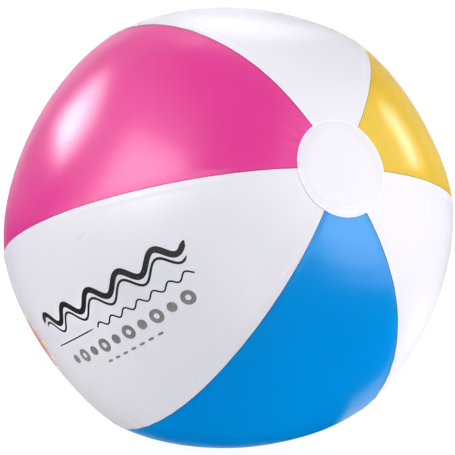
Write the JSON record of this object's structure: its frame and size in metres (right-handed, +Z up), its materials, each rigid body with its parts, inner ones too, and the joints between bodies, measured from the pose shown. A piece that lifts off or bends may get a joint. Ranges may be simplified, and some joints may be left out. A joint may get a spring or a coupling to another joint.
{
  "type": "inflatable beach ball",
  "caption": "Inflated beach ball of coloured and white welded gores, with round end discs and a push-in valve closed by a tethered stopper.",
  "frame": {"origin": "on the floor under the centre of the ball, in the flat patch that the floor presses into it", "axes": "+Z up; the front end disc faces -Y and looks up by 22 degrees; the valve is at the rear, in the middle of the other end disc"},
  "size_m": [0.3334, 0.3304, 0.3271],
  "materials": {
    "vinyl_white": "gloss",
    "vinyl_pink": "gloss",
    "vinyl_blue": "gloss",
    "vinyl_yellow": "gloss",
    "valve_vinyl": "satin"
  },
  "bodies": {
    "ball": {"panel_pink": "vinyl_pink", "panel_white_printed": "vinyl_white", "panel_blue": "vinyl_blue", "panel_white_right": "vinyl_white", "panel_yellow": "vinyl_yellow", "panel_white_top": "vinyl_white", "end_disc_front": "vinyl_white", "end_disc_rear": "vinyl_white", "valve_flange": "valve_vinyl", "valve_sleeve": "valve_vinyl"},
    "stem": {"valve_stem": "valve_vinyl", "stopper_strap": "valve_vinyl"},
    "stopper": {"valve_stopper": "valve_vinyl"},
    "flap": {"check_flap": "valve_vinyl"}
  },
  "joints": [
    {"name": "stem_slide", "type": "slide", "parent": "ball", "child": "stem", "axis": [0, 0.9272, -0.3746], "range_m": [0, 0.022], "deforming": ["valve_sleeve"]},
    {"name": "stopper_flip", "type": "hinge", "parent": "stem", "child": "stopper", "pos_m": [0, 0.14653, 0.09337], "axis": [-1, 0, 0], "range_deg": [0, 150], "deforming": ["stopper_strap"]},
    {"name": "flap_swing", "type": "hinge", "parent": "stem", "child": "flap", "pos_m": [0, 0.13841, 0.11304], "axis": [-1, 0, 0], "range_deg": [0, 50], "stiffness_Nm_per_rad": 0.0002}
  ]
}
